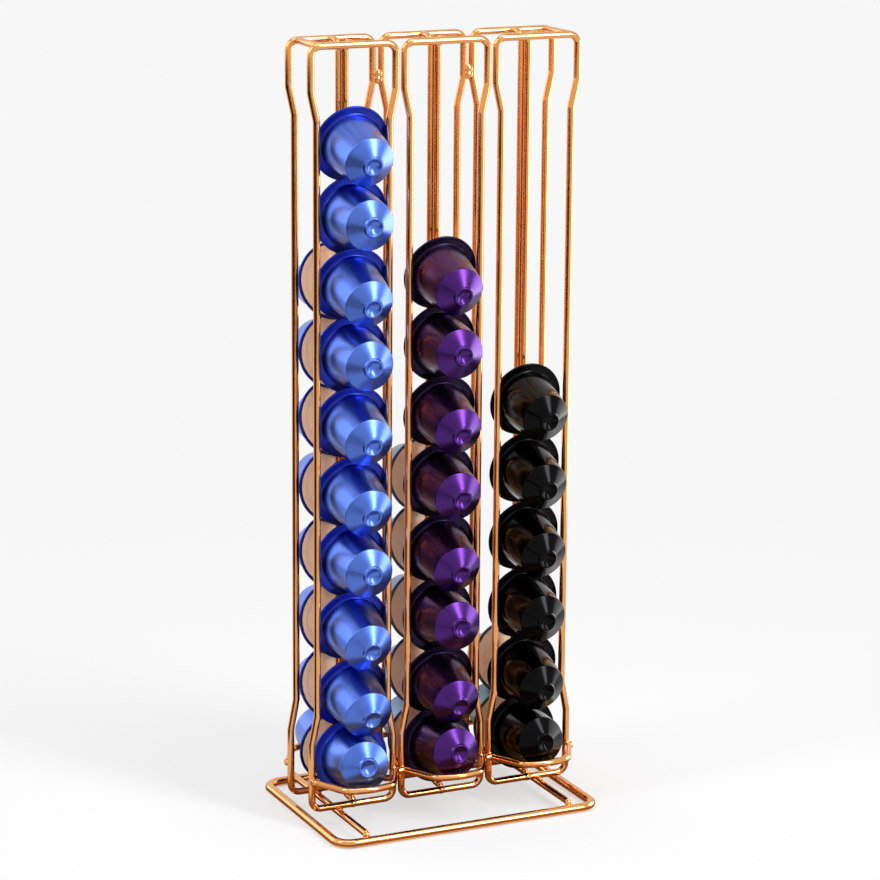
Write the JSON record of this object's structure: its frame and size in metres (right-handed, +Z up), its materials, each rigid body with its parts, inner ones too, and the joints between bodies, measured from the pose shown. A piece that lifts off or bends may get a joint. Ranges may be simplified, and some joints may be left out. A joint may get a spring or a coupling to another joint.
{
  "type": "coffee capsule holder",
  "caption": "Free-standing double-sided copper wire rack whose upright channels hold stacked coffee capsules, loaded at a wide top window and taken from a wide bottom window.",
  "frame": {"origin": "on the table, under the centre of the base loop", "axes": "+X to the right along the row of columns seen from the front, +Y to the rear, +Z up"},
  "size_m": [0.1398, 0.098, 0.3744],
  "materials": {
    "copper_wire": "polished copper plating on steel wire",
    "blue_capsule": "satin blue anodised aluminium with a foil lid",
    "purple_capsule": "satin purple anodised aluminium with a foil lid",
    "black_capsule": "satin black anodised aluminium with a foil lid",
    "slate_capsule": "satin grey-blue anodised aluminium with a foil lid",
    "teal_capsule": "satin grey-teal anodised aluminium with a foil lid"
  },
  "bodies": {
    "rack": {"base_loop": "copper_wire", "base_cross_wire_left": "copper_wire", "base_cross_wire_right": "copper_wire", "front_loop_left": "copper_wire", "front_loop_middle": "copper_wire", "front_loop_right": "copper_wire", "front_lid_guide_left": "copper_wire", "front_lid_guide_middle": "copper_wire", "front_lid_guide_right": "copper_wire", "front_stop_rail": "copper_wire", "rear_loop_left": "copper_wire", "rear_loop_middle": "copper_wire", "rear_loop_right": "copper_wire", "rear_lid_guide_left": "copper_wire", "rear_lid_guide_middle": "copper_wire", "rear_lid_guide_right": "copper_wire", "rear_stop_rail": "copper_wire", "top_tie_left": "copper_wire", "top_tie_right": "copper_wire"},
    "front_left_stack": {"front_left_capsule_01": "blue_capsule", "front_left_capsule_02": "blue_capsule", "front_left_capsule_03": "blue_capsule", "front_left_capsule_04": "blue_capsule", "front_left_capsule_05": "blue_capsule", "front_left_capsule_06": "blue_capsule", "front_left_capsule_07": "blue_capsule", "front_left_capsule_08": "blue_capsule", "front_left_capsule_09": "blue_capsule", "front_left_capsule_10": "blue_capsule"},
    "front_middle_stack": {"front_middle_capsule_01": "purple_capsule", "front_middle_capsule_02": "purple_capsule", "front_middle_capsule_03": "purple_capsule", "front_middle_capsule_04": "purple_capsule", "front_middle_capsule_05": "purple_capsule", "front_middle_capsule_06": "purple_capsule", "front_middle_capsule_07": "purple_capsule", "front_middle_capsule_08": "purple_capsule"},
    "front_right_stack": {"front_right_capsule_01": "black_capsule", "front_right_capsule_02": "black_capsule", "front_right_capsule_03": "black_capsule", "front_right_capsule_04": "black_capsule", "front_right_capsule_05": "black_capsule", "front_right_capsule_06": "black_capsule"},
    "rear_left_stack": {"rear_left_capsule_01": "blue_capsule", "rear_left_capsule_02": "blue_capsule", "rear_left_capsule_03": "blue_capsule", "rear_left_capsule_04": "blue_capsule", "rear_left_capsule_05": "blue_capsule", "rear_left_capsule_06": "blue_capsule", "rear_left_capsule_07": "blue_capsule", "rear_left_capsule_08": "blue_capsule"},
    "rear_middle_stack": {"rear_middle_capsule_01": "slate_capsule", "rear_middle_capsule_02": "slate_capsule", "rear_middle_capsule_03": "slate_capsule", "rear_middle_capsule_04": "slate_capsule", "rear_middle_capsule_05": "slate_capsule"},
    "rear_right_stack": {"rear_right_capsule_01": "teal_capsule", "rear_right_capsule_02": "teal_capsule"}
  },
  "joints": [
    {"name": "front_left_stack_lift", "type": "slide", "parent": "rack", "child": "front_left_stack", "axis": [0, 0, 1], "range_m": [0, 0.025]},
    {"name": "front_middle_stack_lift", "type": "slide", "parent": "rack", "child": "front_middle_stack", "axis": [0, 0, 1], "range_m": [0, 0.0885]},
    {"name": "front_right_stack_lift", "type": "slide", "parent": "rack", "child": "front_right_stack", "axis": [0, 0, 1], "range_m": [0, 0.1535]},
    {"name": "rear_left_stack_lift", "type": "slide", "parent": "rack", "child": "rear_left_stack", "axis": [0, 0, 1], "range_m": [0, 0.092]},
    {"name": "rear_middle_stack_lift", "type": "slide", "parent": "rack", "child": "rear_middle_stack", "axis": [0, 0, 1], "range_m": [0, 0.19]},
    {"name": "rear_right_stack_lift", "type": "slide", "parent": "rack", "child": "rear_right_stack", "axis": [0, 0, 1], "range_m": [0, 0.288]}
  ]
}
